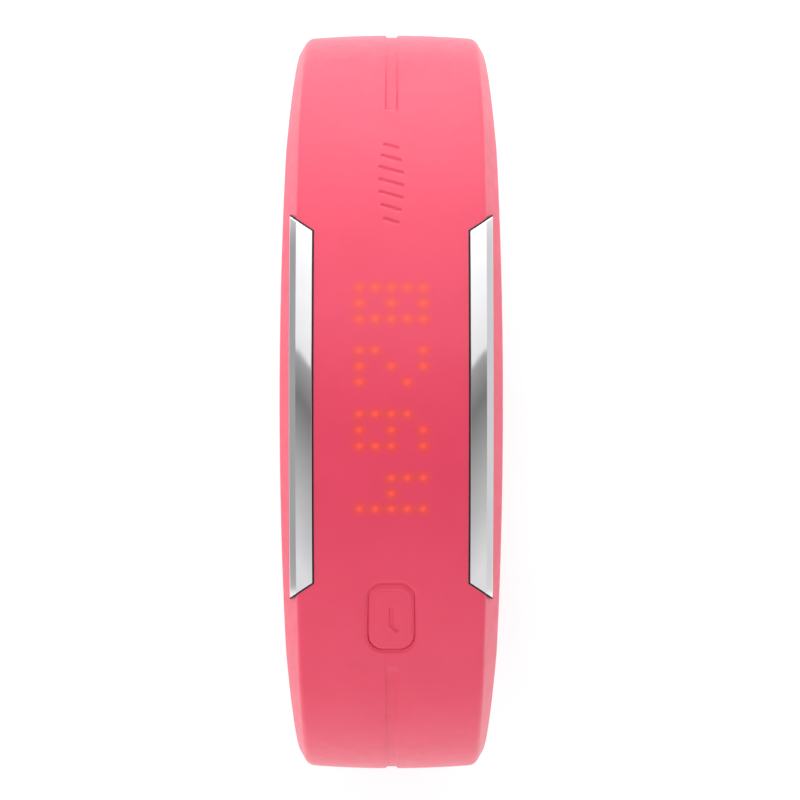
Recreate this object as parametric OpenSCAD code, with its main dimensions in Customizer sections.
// Fitness tracker band: a curved display capsule skinned in silicone, two silicone straps
// pinned to a push-button box clasp, and the electronics that the capsule holds.
// X runs along the wrist, Y along the band, Z out through the display. The band stands on its
// clasp, with the origin on the ground below the middle of the wrist opening.
// Inside the capsule a place is given by its angle from +Z round the display arc's centre and by
// its depth under the outer surface.

/* [Loop] */
// Outside length of the closed loop
loop_length = 69; // [66:0.5:72]
// Outside height of the oval that the loop follows
loop_height = 54; // [54:0.5:56]
// Radius of the arc that the display and the clasp follow
arc_radius = 42; // [42:0.5:43]

/* [Band] */
// Width of the band across the display
display_width = 20; // [19.5:0.1:21]
// Width of each strap at the clasp
strap_width = 16.8; // [16.8:0.1:17.6]
// Thickness of the band at the display
core_thickness = 7.6; // [7.6:0.1:8]
// Thickness of each strap at the clasp
strap_thickness = 3.4; // [3.4:0.1:3.6]
// Thickness of the silicone over the display
skin_thickness = 1.25; // [1.2:0.01:1.28]

/* [Display] */
// Light-emitting diodes along the band
led_rows = 17; // [11:1:17]
// Light-emitting diodes across the band
led_columns = 5; // [3:1:5]
// Distance between neighbouring diodes
led_pitch = 1.4; // [1.3:0.05:1.4]

/* [Touch key] */
// Length of the key along the band
key_length = 6.9; // [6.5:0.1:6.9]
// Width of the key across the band
key_width = 4.6; // [4.2:0.1:4.8]
// Width of the groove round the key
key_groove = 0.34; // [0.3:0.02:0.4]

/* [Side trims] */
// Length of a trim along its outer edge
trim_length = 34.1; // [30:0.1:34.4]

/* [Clasp] */
// Radius of the two strap pins
pin_radius = 0.6; // [0.6:0.01:0.62]
// How far a release button stands out of the clasp
button_proud = 0.7; // [0.5:0.05:0.8]

/* [Hidden] */
$fn = 64;

// Colours
coral = [0.96, 0.36, 0.46];
steel = [0.78, 0.78, 0.80];
mirror_steel = [0.88, 0.88, 0.90];
black = [0.06, 0.06, 0.07];
board_amber = [0.75, 0.45, 0.12];
white_plastic = [0.90, 0.90, 0.88];
gold = [0.85, 0.65, 0.25];

// The oval: two arcs of arc_radius, joined by side arcs that are tangent to them
arc_offset = arc_radius - loop_height / 2;
arc_excess = arc_radius - loop_length / 2;
side_offset = (arc_offset * arc_offset - arc_excess * arc_excess) / (2 * arc_excess);
side_radius = loop_length / 2 - side_offset;
tangent_angle = atan(side_offset / arc_offset);

// Where the parts lie along the band
core_angle = 34.5;             // the display section ends and the straps begin
lid_angle = 32.6;
board_angle = 30.5;
led_angle = 0.5;               // middle of the diode matrix
key_angle = -27.3;             // middle of the touch key
port_angle = -14;              // middle of the charging port
screw_angle = 24.5;

// Depths under the outer surface
lid_top = 1.50;
lid_bottom = 2.10;
tray_rim = 2.20;
mask_top = 2.15;
board_top = 3.00;
board_bottom = 3.30;
tray_floor = 6.00;
tray_bottom = 6.60;
cavity_bottom = 6.70;
plate_top = 6.75;

// Half-widths across the band
cavity_half = 8.0;
lid_half = 7.8;
cavity_angle = lid_angle + 0.2;
lip_angle = 28.25;             // the lip leaves the back plate bare between these angles
tray_wall = 0.8;
board_half = 6.7;
lip_half = 7.2;                // the silicone lip that laps under the capsule
plate_half = 7.05;

fit = 0.05;                    // running clearance round a pin or a slider
cut = 1;                       // how far a cutting shape reaches past what it cuts
trim_gap = 0.12;               // shadow gap that the trim gasket fills
crown = 0.00525;               // sideways crown of the outer face, in mm per mm squared

function smooth(t) = let (u = min(1, max(0, t))) u * u * (3 - 2 * u);

// Section of the band at an angle from +Z
taper_end = 110;
function taper(a) = smooth(a / taper_end);
function half_width(a) = display_width / 2 - (display_width - strap_width) / 2 * taper(a);
function bevel_width(a) = 1.5 - 0.75 * taper(a);
function thickness(a) =
    core_thickness - (core_thickness - strap_thickness) * smooth((a - core_angle) / 60);
function crowned(x) = crown * x * x;
edge_drop = 0.05;              // rounding at the facet's upper edge
widest_from = 0.48;            // the section is widest between these shares of its thickness
widest_to = 0.72;
core_chamfer = 0.9;
strap_chamfer = 0.12;

// A point of the loop at an angle from +Z towards +Y, below the outer surface: [y, z]
function loop_point(a, depth) =
    let (
        lower = 180 - tangent_angle,
        centre = a <= tangent_angle ? [0, -arc_offset]
            : a >= lower ? [0, arc_offset] : [side_offset, 0],
        r = a <= tangent_angle || a >= lower ? arc_radius : side_radius
    )
    centre + (r - depth) * [sin(a), cos(a)];

// The clasp lies flat under the lower arc
pin_depth = strap_thickness / 2;
pin_y = 13;
pin_z = arc_offset - sqrt(pow(arc_radius - pin_depth, 2) - pin_y * pin_y);
pin_angle = 180 - asin(pin_y / (arc_radius - pin_depth));
strap_end_angle = pin_angle - 3.3;
land_half = 5;                 // half-length of the flat that the band stands on
ground_z = arc_offset - sqrt(arc_radius * arc_radius - land_half * land_half);
clasp_half = strap_width / 2;
clasp_top = -22.3;             // the clasp's face on the wrist
floor_thickness = 0.8;
slot_top = clasp_top - floor_thickness;
slot_bottom = -25.2;
clasp_mouth = -9.6;
clasp_back = 11;
slot_back = 7.8;
clasp_wall = 1.2;
lug_radius = 1.8;
lug_inner = clasp_half - 1.9;
tab_half = lug_inner - 0.2;
nose_radius = 1.55;
tongue_thickness = 1.2;
tongue_z = (slot_top + slot_bottom) / 2;
button_y = 3.4;
button_length = 4;
button_height = 1.9;

// ---- Building blocks ----

// Draws a node in its place on the ground
module on_ground() translate([0, 0, -ground_z]) children();

// Sweeps an outline in [radius, x] round the display arc, from one angle to another
module arc_sweep(from, to) {
    translate([0, 0, -arc_offset])
        rotate([0, -90, 0])
            rotate([0, 0, from])
                rotate_extrude(angle = to - from)
                    children();
}

// A curved slab between two depths and two half-widths
module arc_slab(from, to, top, bottom, half) {
    arc_sweep(from, to)
        translate([arc_radius - bottom, -half])
            square([bottom - top, 2 * half]);
}

// Puts something at an angle, depth and side, with its own Z pointing out of the display
module at_arc(angle, depth, x = 0) {
    translate([0, 0, -arc_offset])
        rotate([-angle, 0, 0])
            translate([x, 0, arc_radius - depth])
                children();
}

// Extrudes a [y, z] outline across the band, centred on x = 0
module across(width) {
    rotate([90, 0, 90])
        linear_extrude(height = width, center = true)
            children();
}

module cross_cylinder(r, width) rotate([0, 90, 0]) cylinder(r = r, h = width, center = true);

// A box from one corner to the other
module block(low, high) translate(low) cube(high - low);

module rounded_rect(width, length, r) {
    square([width - 2 * r, length], center = true);
    square([width, length - 2 * r], center = true);
    for (x = [-1, 1], y = [-1, 1])
        translate([x * (width / 2 - r), y * (length / 2 - r)])
            circle(r);
}

// A chip or other boxed part on the underside of the board, just clear of the board's curve
module under_board(angle, x, size) {
    sag = pow(size[1] / 2, 2) / (2 * (arc_radius - board_bottom));
    at_arc(angle, board_bottom + sag + 0.01, x)
        translate([-size[0] / 2, -size[1] / 2, -size[2]])
            cube(size);
}

module both_sides() {
    children();
    mirror([1, 0, 0]) children();
}

// ---- Silicone ----

// Half of the display section's outline, as [x, depth] from the middle outwards
function core_outline_half() =
    let (w = half_width(0), f = w - bevel_width(0), h = core_thickness)
    [
        [f / 3, crowned(f / 3)], [f * 2 / 3, crowned(f * 2 / 3)], [f, crowned(f) + edge_drop],
        [w, widest_from * h], [w, widest_to * h], [w - core_chamfer, h]
    ];

// The band's outline seen from above: its sides bow outwards
barrel_fn = 720;
module plan_barrel(half_middle, half_end, reach) {
    sag = half_middle - half_end;
    r = (reach * reach + sag * sag) / (2 * sag);
    translate([0, 0, -loop_height])
        linear_extrude(height = 2 * loop_height)
            intersection() {
                translate([half_middle - r, 0]) circle(r, $fn = barrel_fn);
                translate([r - half_middle, 0]) circle(r, $fn = barrel_fn);
                square([2 * half_middle, 2.4 * reach], center = true);
            }
}

module key_window() {
    at_arc(key_angle, skin_thickness + cut)
        linear_extrude(height = skin_thickness + 2)
            rounded_rect(key_width + key_groove, key_length + key_groove,
                         key_corner + key_groove / 2);
}

module band_core() {
    half = core_outline_half();
    n = len(half);
    outline = concat(half, [for (i = [n - 1:-1:0]) [-half[i][0], half[i][1]]]);
    color(coral)
        difference() {
            intersection() {
                arc_sweep(-core_angle, core_angle)
                    polygon([for (p = outline) [arc_radius - p[1], p[0]]]);
                plan_barrel(half_width(0), half_width(core_angle),
                            arc_radius * sin(core_angle));
            }
            arc_slab(-cavity_angle, cavity_angle, skin_thickness, cavity_bottom, cavity_half);
            arc_slab(-lip_angle, lip_angle, cavity_bottom - 0.5, core_thickness + cut, lip_half);
            both_sides() trim_space(trim_gap);
            key_window();
        }
}

// One strap, on the +Y side: a swept solid with a groove along its outer face
groove_half = 0.45;
groove_depth = 0.2;
groove_slope = 0.12;
groove_fade = 3;               // angle over which the groove reaches its depth
upper_groove_start = 39;
lower_groove_start = 34.5;

function strap_half(a, groove) =
    let (w = half_width(a), f = w - bevel_width(a), h = thickness(a))
    [
        [groove_half, groove], [groove_half + groove_slope, crowned(groove_half)],
        [f * 0.6, crowned(f * 0.6)], [f, crowned(f) + edge_drop],
        [w, widest_from * h], [w, widest_to * h], [w - strap_chamfer * h, h]
    ];

function strap_ring(a, groove_start) =
    let (
        half = strap_half(a, groove_depth * smooth((a - groove_start) / groove_fade)),
        n = len(half),
        other_half = [for (i = [n - 1:-1:0]) [-half[i][0], half[i][1]]]
    )
    [for (p = concat(half, other_half)) let (q = loop_point(a, p[1])) [p[0], q[0], q[1]]];

module strap_body(groove_start) {
    steps = 38;
    step = (strap_end_angle - core_angle) / steps;
    rings = [for (i = [0:steps]) strap_ring(core_angle + i * step, groove_start)];
    n = len(rings[0]);
    polyhedron(
        points = [for (r = rings) each r],
        faces = concat(
            [[for (i = [0:n - 1]) i]],
            [for (s = [0:steps - 1], i = [0:n - 1])
                let (j = (i + 1) % n)
                [s * n + i, (s + 1) * n + i, (s + 1) * n + j, s * n + j]],
            [[for (i = [n - 1:-1:0]) steps * n + i]]
        )
    );
}

// The narrow end of the strap, which turns on the pin between the clasp's lugs
module strap_tab() {
    root = strap_end_angle - 1.2;
    margin = pin_depth - nose_radius;
    deep = strap_thickness - margin;
    across(2 * tab_half) {
        polygon([loop_point(root, margin), loop_point(pin_angle, margin),
                 loop_point(pin_angle, deep), loop_point(root, deep)]);
        translate([pin_y, pin_z]) circle(nose_radius);
    }
}

module strap(groove_start) {
    color(coral)
        difference() {
            union() {
                strap_body(groove_start);
                strap_tab();
            }
            translate([0, pin_y, pin_z]) cross_cylinder(pin_radius + fit, 2 * strap_width);
        }
}

module upper_strap() strap(upper_groove_start);
module lower_strap() mirror([0, 1, 0]) strap(lower_groove_start);

// The touch key: a silicone pad in a window of the skin
key_corner = 1.6;
module touch_key() {
    color(coral)
        intersection() {
            arc_slab(-core_angle, 0, 0.04, skin_thickness - 0.02, display_width / 2);
            at_arc(key_angle, skin_thickness + cut)
                linear_extrude(height = skin_thickness + 2)
                    rounded_rect(key_width - key_groove, key_length - key_groove,
                                 key_corner - key_groove / 2);
        }
}

// ---- Side trims ----

trim_shift = -0.45;            // the trims' middle lies a little below the display's
trim_inner = 7.05;
trim_edge = 8.5;
trim_outer = 9.08;
trim_rib = [8.2, 8.62];
trim_rib_depth = 3.2;
trim_end_slope = 0.66;
trim_end_margin = 4;           // angle left uncut at each end of the display section
trim_base = 0.85;              // depth of the trim's flange

// The trim's section as [x, depth]; its outer wall stands clear of the silicone
function trim_section(grow) = [
    [trim_inner - grow, 0.12 - 3 * grow], [trim_edge, 0.34 - 3 * grow],
    [trim_outer + 3 * grow, 0.80 - 2 * grow], [trim_outer + 3 * grow, 1.85],
    [trim_rib[1] + grow, 1.98 + grow], [trim_rib[1] + grow, trim_rib_depth + grow],
    [trim_rib[0] - grow, trim_rib_depth + grow], [trim_rib[0] - grow, trim_base + grow],
    [trim_inner - grow, trim_base + grow]
];

// The section swept along the display, with its ends cut off slantwise
module trim_space(grow) {
    half = trim_length / 2 + grow;
    inner = trim_inner - 0.5;
    outer = trim_outer + cut;
    inner_half = half - (trim_outer - inner) * trim_end_slope;
    outer_half = half + (outer - trim_outer) * trim_end_slope;
    intersection() {
        arc_sweep(trim_end_margin - core_angle, core_angle - trim_end_margin)
            polygon([for (p = trim_section(grow)) [arc_radius - p[1], -p[0]]]);
        translate([0, trim_shift, 0])
            linear_extrude(height = loop_height)
                polygon([
                    [inner, -inner_half], [outer, -outer_half],
                    [outer, outer_half], [inner, inner_half]
                ]);
    }
}

module side_trim_right() color(mirror_steel) trim_space(0);
module side_trim_left() mirror([1, 0, 0]) side_trim_right();

// Black gasket in the gap along the trim's inner edge and round its ends
module trim_gasket_right() {
    color(black)
        difference() {
            intersection() {
                trim_space(trim_gap - 0.02);
                arc_slab(trim_end_margin - core_angle, core_angle - trim_end_margin, 0.22,
                         trim_base + trim_gap, cavity_half);
            }
            trim_space(0.01);
            arc_slab(-core_angle, core_angle, 0.75, 2, trim_inner - 0.12);
        }
}

module trim_gasket_left() mirror([1, 0, 0]) trim_gasket_right();

// ---- Capsule ----

// The hole in which the key's plunger moves
plunger_radius = 1.2;
module plunger_hole(clearance) {
    at_arc(key_angle, board_top)
        cylinder(r = plunger_radius + clearance, h = board_top);
}

module capsule_lid() {
    color(white_plastic)
        difference() {
            arc_slab(-lid_angle, lid_angle, lid_top, lid_bottom, lid_half);
            plunger_hole(0.15);
        }
}

module lid_gasket() {
    color(black)
        difference() {
            arc_slab(-lid_angle, lid_angle, lid_bottom, tray_rim, lid_half);
            arc_slab(1 - lid_angle, lid_angle - 1, lid_bottom - cut, tray_rim + cut,
                     lid_half - tray_wall);
        }
}

module capsule_tray() {
    wall_half = lid_half - tray_wall;
    color(black)
        difference() {
            union() {
                difference() {
                    arc_slab(-lid_angle, lid_angle, tray_rim, tray_bottom, lid_half);
                    arc_slab(1 - lid_angle, lid_angle - 1, tray_rim - cut, tray_floor, wall_half);
                }
                for (a = [-1, 1], x = [-1, 1])
                    at_arc(a * screw_angle, tray_floor + 0.3, x * screw_x)
                        cylinder(r = boss_radius, h = boss_height + 0.3);
            }
            for (a = [-1, 1], x = [-1, 1])
                at_arc(a * screw_angle, tray_bottom + cut, x * screw_x)
                    cylinder(r = screw_radius, h = boss_height + 1.3);
            at_arc(port_angle, tray_bottom + cut)
                linear_extrude(height = 3)
                    rounded_rect(port_width + 2 * fit, port_length + 2 * fit, port_corner);
        }
}

// ---- Display and board ----

led_step = led_pitch / arc_radius * 180 / PI;
led_size = [0.6, 0.6, 0.4];

// Repeats something at every diode
module at_leds(depth) {
    for (row = [0:led_rows - 1], column = [0:led_columns - 1])
        at_arc(led_angle + (row - (led_rows - 1) / 2) * led_step, depth,
               (column - (led_columns - 1) / 2) * led_pitch)
            children();
}

module led_mask() {
    half_angle = (led_rows + 1) / 2 * led_step;
    color(black)
        difference() {
            arc_slab(led_angle - half_angle, led_angle + half_angle, mask_top, board_top - 0.02,
                     (led_columns + 1) / 2 * led_pitch);
            at_leds(board_top + 0.2) cylinder(r = 0.5, h = board_top);
        }
}

module display_leds() {
    color([1, 0.4, 0.3])
        at_leds(board_top - 0.02)
            translate([-led_size[0] / 2, -led_size[1] / 2, 0])
                cube(led_size);
}

module flex_board() {
    color(board_amber)
        arc_slab(-board_angle, board_angle, board_top, board_bottom, board_half);
}

module processor() color(black) under_board(-19, 0, [4.2, 3.4, 0.8]);
module radio_chip() color(black) under_board(-24.5, 0, [3, 3, 0.75]);
module motion_sensor() color(black) under_board(-19.5, -4.6, [2, 2, 0.9]);
module memory_chip() color(black) under_board(-19.5, 4.8, [2, 3, 0.6]);
module power_chip() color(black) under_board(-13.5, 4.6, [2, 2, 0.7]);
module crystal() color(steel) under_board(-13.5, -4.8, [1.2, 2, 0.5]);
module chip_antenna() color(white_plastic) under_board(27.5, 0, [6, 1.5, 0.6]);

module board_passives() {
    color([0.55, 0.45, 0.35]) {
        for (x = [-2.4:0.8:2.4]) under_board(-14.2, x, [0.3, 0.6, 0.3]);
        for (x = [-2.4:0.8:2.4]) under_board(-28.2, x, [0.3, 0.6, 0.3]);
    }
}

// Metal dome under the key, and the sealing membrane with its plunger
dome_height = 0.45;
membrane_top = 1.30;
membrane_bottom = 1.46;
plunger_bottom = board_top - dome_height - 0.05;
module dome_switch() {
    color(steel)
        at_arc(key_angle, board_top - 0.02) {
            cylinder(r = 1.9, h = 0.15);
            translate([0, 0, 0.1]) cylinder(r1 = 1.6, r2 = 0.8, h = dome_height - 0.1);
        }
}

module key_membrane() {
    color([0.85, 0.85, 0.85])
        intersection() {
            arc_slab(-lid_angle, 0, membrane_top, membrane_bottom, lid_half);
            at_arc(key_angle, lid_top + 1)
                linear_extrude(height = 2)
                    rounded_rect(key_width + 1.6, key_length + 0.9, key_corner);
        }
}

module key_plunger() {
    color(white_plastic)
        at_arc(key_angle, plunger_bottom)
            cylinder(r = plunger_radius, h = plunger_bottom - membrane_bottom - 0.02);
}

// ---- Power ----

battery_from = -9.5;
battery_to = 21.5;
battery_half = 6.2;
module battery() {
    color([0.75, 0.77, 0.80])
        arc_slab(battery_from, battery_to, 3.75, 5.85, battery_half);
}

module battery_board() {
    color([0.1, 0.35, 0.2])
        arc_slab(battery_to + 0.4, battery_to + 1.9, 4.2, 4.6, battery_half - 2.2);
}

module battery_leads() {
    color([0.8, 0.1, 0.1])
        for (x = [-1, 1])
            at_arc(battery_to + 1.1, 4.18, x * 1.5)
                cylinder(r = 0.25, h = 4.18 - board_bottom - 0.02);
}

// ---- Charging port and back plate ----

port_width = 9;
port_length = 3.4;
port_corner = 0.8;
contact_pitch = 2.1;
contact_radius = 0.65;
magnet_radius = 0.75;
screw_x = 5.7;
screw_radius = 0.45;
screw_head = 0.95;
boss_radius = 0.95;
boss_height = 1.1;

module at_contacts(depth) {
    for (i = [-1.5:1:1.5])
        at_arc(port_angle, depth, i * contact_pitch)
            children();
}

module contact_block() {
    color(black)
        difference() {
            at_arc(port_angle, plate_top + 0.35)
                linear_extrude(height = plate_top + 0.35 - 5.0)
                    rounded_rect(port_width, port_length, port_corner);
            at_contacts(8) cylinder(r = contact_radius, h = 4);
        }
}

module charge_contacts() {
    color(gold)
        at_contacts(plate_top + 0.45) {
            cylinder(r = contact_radius - 0.03, h = 1.2);
            cylinder(r = contact_radius - 0.3, h = plate_top + 0.45 - 4.75);
        }
}

module port_magnets() {
    color(steel)
        for (x = [-1, 1])
            at_arc(port_angle, tray_floor - 0.02, x * 5.9)
                cylinder(r = magnet_radius, h = 1.2);
}

plate_angle = 28;
module back_plate_seal() {
    color(black)
        difference() {
            arc_slab(1 - plate_angle, plate_angle - 1, tray_bottom + 0.01, plate_top - 0.01,
                     plate_half - 0.3);
            arc_slab(2.2 - plate_angle, plate_angle - 2.2, tray_bottom - cut, plate_top + cut,
                     plate_half - 0.9);
        }
}

module back_plate() {
    color(steel)
        difference() {
            arc_slab(-plate_angle, plate_angle, plate_top, core_thickness, plate_half);
            at_arc(port_angle, core_thickness + cut)
                linear_extrude(height = 3)
                    rounded_rect(port_width + 2 * fit, port_length + 2 * fit, port_corner);
            for (a = [-1, 1], x = [-1, 1])
                at_arc(a * screw_angle, core_thickness + cut, x * screw_x) {
                    cylinder(r = screw_radius + 0.1, h = 3);
                    cylinder(r = screw_head + 0.05, h = 1.45);
                }
        }
}

module back_plate_screws() {
    color(steel)
        for (a = [-1, 1], x = [-1, 1])
            at_arc(a * screw_angle, core_thickness - 0.05, x * screw_x)
                difference() {
                    union() {
                        cylinder(r = screw_head, h = 0.38);
                        cylinder(r = screw_radius - 0.02, h = 2.3);
                    }
                    block([-0.7, -0.12, -1], [0.7, 0.12, 0.2]);
                    block([-0.12, -0.7, -1], [0.12, 0.7, 0.2]);
                }
}

// ---- Clasp: the box half on the upper strap ----

// Outer outline of both clasp halves: flat on the wrist, arched with a flat land on the ground
module clasp_outline(from, to) {
    across(2 * clasp_half)
        intersection() {
            translate([from, ground_z]) square([to - from, clasp_top - ground_z]);
            translate([0, arc_offset]) circle(arc_radius);
        }
}

// Two ears round the pin, on the +Y side
lug_root = 0.4;                // how far the ears reach into the clasp's end wall
module lugs(root_y) {
    both_sides()
        translate([(lug_inner + clasp_half) / 2, 0, 0])
            across(clasp_half - lug_inner)
                difference() {
                    union() {
                        translate([pin_y, pin_z]) circle(lug_radius);
                        polygon([[root_y - lug_root, slot_bottom + 0.2],
                                 [root_y + 0.5, slot_bottom + 0.2],
                                 [pin_y + 0.4, pin_z - lug_radius + 0.05],
                                 [pin_y, pin_z + lug_radius - 0.01],
                                 [root_y - lug_root, clasp_top]]);
                    }
                    translate([pin_y, pin_z]) circle(pin_radius + 0.02);
                }
}

// The part of the button's window that is cut through the side walls
module button_window() {
    both_sides()
        block([clasp_half - clasp_wall - 0.5, button_y - button_length / 2 - fit,
               tongue_z - button_height / 2 - fit],
              [clasp_half + cut, button_y + button_length / 2 + fit,
               tongue_z + button_height / 2 + fit]);
}

post_inner = 5.9;              // catch posts that hold the latch
post_from = -1.1;
post_to = 0.3;
ledge_back = 10.6;
clasp_screw_radius = 0.38;
clasp_screw_head = 0.75;
slot_half = clasp_half - clasp_wall;

module at_clasp_screws(z) {
    for (x = [-1, 1])
        translate([x * 5, (slot_back + ledge_back) / 2, z])
            children();
}

module clasp_shell() {
    color(steel)
        difference() {
            union() {
                difference() {
                    clasp_outline(clasp_mouth, clasp_back);
                    block([-slot_half, clasp_mouth - cut, slot_bottom],
                          [slot_half, slot_back, clasp_top + cut]);
                    block([-slot_half, slot_back - cut, slot_top],
                          [slot_half, ledge_back, clasp_top + cut]);
                }
                both_sides()
                    block([post_inner, post_from, slot_bottom - 0.5],
                          [slot_half + 0.5, post_to, slot_top - 0.01]);
                lugs(clasp_back);
            }
            button_window();
            at_clasp_screws(slot_top - 1.6) cylinder(r = clasp_screw_radius + 0.01, h = 3);
        }
}

module clasp_floor() {
    color(steel)
        difference() {
            block([-slot_half + 0.02, clasp_mouth, slot_top],
                  [slot_half - 0.02, ledge_back - 0.02, clasp_top]);
            at_clasp_screws(slot_top - cut) cylinder(r = clasp_screw_radius + 0.05, h = 3);
            at_clasp_screws(clasp_top - 0.4) cylinder(r = clasp_screw_head + 0.05, h = 1);
        }
}

module clasp_screws() {
    color(steel)
        difference() {
            union() {
                at_clasp_screws(slot_top - 1.5) cylinder(r = clasp_screw_radius, h = 2);
                at_clasp_screws(clasp_top - 0.38) cylinder(r = clasp_screw_head, h = 0.33);
            }
            at_clasp_screws(clasp_top - 0.2) block([-1, -0.1, 0], [1, 0.1, 1]);
        }
}

module hinge_pin() {
    color(steel)
        translate([0, pin_y, pin_z])
            cross_cylinder(pin_radius, 2 * clasp_half - 0.3);
}

module upper_pin() hinge_pin();
module lower_pin() mirror([0, 1, 0]) hinge_pin();

// The button on the +X side: a crowned pad with a flange that keeps it in its window
flange_length = button_length + 0.8;
flange_thickness = 0.82;
crown_radius = 6;
module release_button() {
    outer = clasp_half + button_proud;
    color(steel)
        intersection() {
            union() {
                block([slot_half - flange_thickness, button_y - flange_length / 2,
                       tongue_z - button_height / 2],
                      [slot_half - 0.03, button_y + flange_length / 2,
                       tongue_z + button_height / 2]);
                block([slot_half - 0.5, button_y - button_length / 2,
                       tongue_z - button_height / 2],
                      [outer, button_y + button_length / 2, tongue_z + button_height / 2]);
            }
            translate([outer - crown_radius, button_y, tongue_z - button_height])
                cylinder(r = crown_radius, h = 2 * button_height);
        }
}

module release_button_right() release_button();
module release_button_left() mirror([1, 0, 0]) release_button();

// ---- Clasp: the tongue half on the lower strap ----

head_gap = 0.15;
head_front = clasp_mouth - head_gap;
plate_front = -3;
plate_side_gap = 0.2;
prong_inner = 4.5;
prong_arm = 5.45;
prong_tip = 5.6;
rivet_radius = 0.6;

module clasp_tongue() {
    color(steel) {
        difference() {
            union() {
                clasp_outline(-clasp_back, head_front);
                block([plate_side_gap - slot_half, head_front - 0.5, tongue_z - latch_thickness],
                      [slot_half - plate_side_gap, plate_front, tongue_z]);
            }
            at_rivets() cylinder(r = rivet_radius, h = 4, center = true);
        }
        mirror([0, 1, 0]) lugs(clasp_back);
    }
}

module at_rivets() {
    for (x = [-1, 1])
        translate([x * 3, -6.2, tongue_z])
            children();
}

// Spring-steel latch: a plate with two sprung arms whose heads hook behind the catch posts
latch_thickness = tongue_thickness / 2;
module latch_prongs() {
    color(mirror_steel)
        difference() {
            translate([0, 0, tongue_z + 0.01])
                linear_extrude(height = latch_thickness - 0.01) {
                    translate([0, -6.2]) square([2 * prong_arm, 4.4], center = true);
                    for (side = [-1, 1])
                        polygon([for (p = [
                            [prong_inner, -4.5], [prong_arm, -4.5], [prong_arm, post_to + 0.05],
                            [post_inner + 0.4, post_to + 0.05],
                            [post_inner + 0.4, prong_tip - 1.4],
                            [prong_arm - 0.2, prong_tip], [prong_inner, prong_tip]
                        ]) [side * p[0], p[1]]]);
                }
            at_rivets() cylinder(r = rivet_radius, h = 4, center = true);
        }
}

module tongue_rivets() {
    color(steel)
        at_rivets() {
            cylinder(r = rivet_radius - 0.01, h = 2 * latch_thickness + 0.3, center = true);
            for (side = [-1, 1])
                translate([0, 0, side * (latch_thickness + 0.09)])
                    cylinder(r = rivet_radius + 0.3, h = 0.16, center = true);
        }
}

on_ground() band_core();
on_ground() side_trim_left();
on_ground() side_trim_right();
on_ground() trim_gasket_left();
on_ground() trim_gasket_right();
on_ground() capsule_lid();
on_ground() lid_gasket();
on_ground() led_mask();
on_ground() display_leds();
on_ground() flex_board();
on_ground() processor();
on_ground() radio_chip();
on_ground() motion_sensor();
on_ground() memory_chip();
on_ground() power_chip();
on_ground() chip_antenna();
on_ground() crystal();
on_ground() board_passives();
on_ground() dome_switch();
on_ground() key_plunger();
on_ground() key_membrane();
on_ground() battery();
on_ground() battery_board();
on_ground() battery_leads();
on_ground() capsule_tray();
on_ground() contact_block();
on_ground() charge_contacts();
on_ground() port_magnets();
on_ground() back_plate_seal();
on_ground() back_plate();
on_ground() back_plate_screws();
on_ground() touch_key();
on_ground() upper_strap();
on_ground() lower_strap();
on_ground() clasp_shell();
on_ground() clasp_floor();
on_ground() clasp_screws();
on_ground() upper_pin();
on_ground() release_button_left();
on_ground() release_button_right();
on_ground() clasp_tongue();
on_ground() latch_prongs();
on_ground() tongue_rivets();
on_ground() lower_pin();
